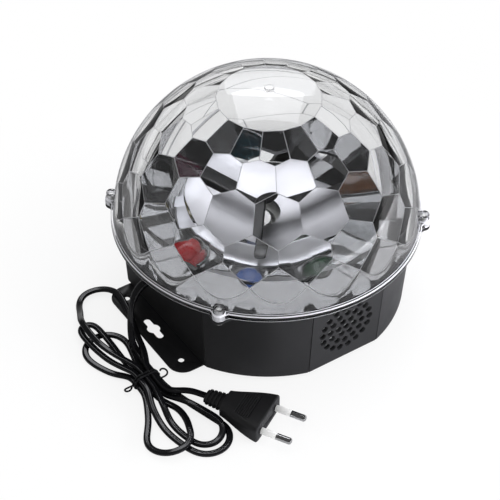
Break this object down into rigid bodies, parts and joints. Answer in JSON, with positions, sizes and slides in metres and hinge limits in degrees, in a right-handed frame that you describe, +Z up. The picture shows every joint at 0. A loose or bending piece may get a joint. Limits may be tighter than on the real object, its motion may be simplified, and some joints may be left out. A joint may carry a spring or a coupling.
{
  "type": "led disco ball light",
  "caption": "Party light with a clear faceted dome over coloured lenses and a turning prism ring, on a round black base with speakers, a hanging tab and a tied mains lead.",
  "frame": {"origin": "centre of the round base, on the surface that the rubber feet stand on", "axes": "+Z up along the dome's axis, +Y to the hanging tab and the lead, -Y to the buttons and sockets, speakers facing -X and +X"},
  "size_m": [0.2147, 0.225, 0.1483],
  "materials": {
    "clear_acrylic": "clear, polished outside, flat facets inside",
    "black_plastic": "moulded, fine satin grain",
    "black_steel": "black powder coat, semi-gloss",
    "black_rubber": "matte",
    "zinc_steel": "zinc plated",
    "bright_steel": "bright, plated",
    "deck_plastic": "black, semi-gloss",
    "white_board": "white solder mask",
    "silvered_plastic": "vacuum metallised",
    "motor_steel": "plain steel can",
    "motor_screw_steel": "zinc plated",
    "shaft_steel": "ground",
    "spider_plastic": "black, semi-gloss",
    "prism_acrylic": "clear, polished, with radial ridges",
    "speaker_steel": "dull, pressed",
    "cone_paper": "black, matte",
    "tray_plastic": "dark grey, matte",
    "green_board": "green solder mask",
    "transformer_yellow": "yellow tape",
    "capacitor_sleeve": "shrink sleeve",
    "button_plastic": "black, glossy",
    "socket_steel": "tinned sheet",
    "tongue_plastic": "blue",
    "card_steel": "tinned sheet",
    "infrared_plastic": "very dark red, glossy",
    "cord_rubber": "black, slightly glossy",
    "tie_plastic": "black, glossy",
    "plug_plastic": "black, satin",
    "pin_chrome": "polished, nickel plated",
    "sleeve_plastic": "white",
    "red_acrylic": "tinted, smooth",
    "blue_acrylic": "tinted, smooth",
    "green_acrylic": "tinted, smooth",
    "white_acrylic": "tinted, smooth",
    "amber_acrylic": "tinted, smooth",
    "violet_acrylic": "tinted, smooth",
    "cyan_acrylic": "tinted, smooth",
    "pink_acrylic": "tinted, smooth",
    "yellow_acrylic": "tinted, smooth"
  },
  "bodies": {
    "case": {"base_housing": "black_plastic", "base_plate": "black_steel", "rubber_foot_1": "black_rubber", "rubber_foot_2": "black_rubber", "rubber_foot_3": "black_rubber", "rubber_foot_4": "black_rubber", "base_screw_1": "zinc_steel", "base_screw_2": "zinc_steel", "base_screw_3": "zinc_steel", "base_screw_4": "zinc_steel", "dome_cover": "clear_acrylic", "dome_screw_1": "bright_steel", "dome_screw_2": "bright_steel", "dome_screw_3": "bright_steel", "dome_screw_4": "bright_steel", "deck_bezel": "deck_plastic", "reflector_dish": "silvered_plastic", "led_board": "white_board", "red_lens": "red_acrylic", "blue_lens": "blue_acrylic", "green_lens": "green_acrylic", "white_lens": "white_acrylic", "amber_lens": "amber_acrylic", "violet_lens": "violet_acrylic", "cyan_lens": "cyan_acrylic", "pink_lens": "pink_acrylic", "yellow_lens": "yellow_acrylic", "motor": "motor_steel", "motor_screw_1": "motor_screw_steel", "motor_screw_2": "motor_screw_steel", "left_speaker_frame": "speaker_steel", "left_speaker_cone": "cone_paper", "right_speaker_frame": "speaker_steel", "right_speaker_cone": "cone_paper", "board_tray": "tray_plastic", "power_board": "green_board", "main_board": "green_board", "transformer": "transformer_yellow", "capacitor": "capacitor_sleeve", "usb_socket": "socket_steel", "usb_tongue": "tongue_plastic", "card_socket": "card_steel", "infrared_receiver": "infrared_plastic", "cord_bush": "cord_rubber", "mains_lead": "cord_rubber", "cord_hank": "cord_rubber", "plug_lead": "cord_rubber", "twist_tie": "tie_plastic", "plug_body": "plug_plastic", "plug_pin_1": "pin_chrome", "plug_pin_2": "pin_chrome", "pin_sleeve_1": "sleeve_plastic", "pin_sleeve_2": "sleeve_plastic"},
    "rotor": {"rotor_shaft": "shaft_steel", "rotor_spider": "spider_plastic", "prism_ring": "prism_acrylic"},
    "button_1": {"button_1": "button_plastic"},
    "button_2": {"button_2": "button_plastic"},
    "button_3": {"button_3": "button_plastic"},
    "button_4": {"button_4": "button_plastic"}
  },
  "joints": [
    {"name": "rotor_spin", "type": "hinge", "parent": "case", "child": "rotor", "pos_m": [0, 0, 0.0687], "axis": [0, 0, 1], "continuous": true},
    {"name": "button_1_press", "type": "slide", "parent": "case", "child": "button_1", "axis": [0, 1, 0], "range_m": [0, 0.0008], "stiffness_N_per_m": 800, "springref_m": -0.0015},
    {"name": "button_2_press", "type": "slide", "parent": "case", "child": "button_2", "axis": [0, 1, 0], "range_m": [0, 0.0008], "stiffness_N_per_m": 800, "springref_m": -0.0015},
    {"name": "button_3_press", "type": "slide", "parent": "case", "child": "button_3", "axis": [0, 1, 0], "range_m": [0, 0.0008], "stiffness_N_per_m": 800, "springref_m": -0.0015},
    {"name": "button_4_press", "type": "slide", "parent": "case", "child": "button_4", "axis": [0, 1, 0], "range_m": [0, 0.0008], "stiffness_N_per_m": 800, "springref_m": -0.0015}
  ]
}
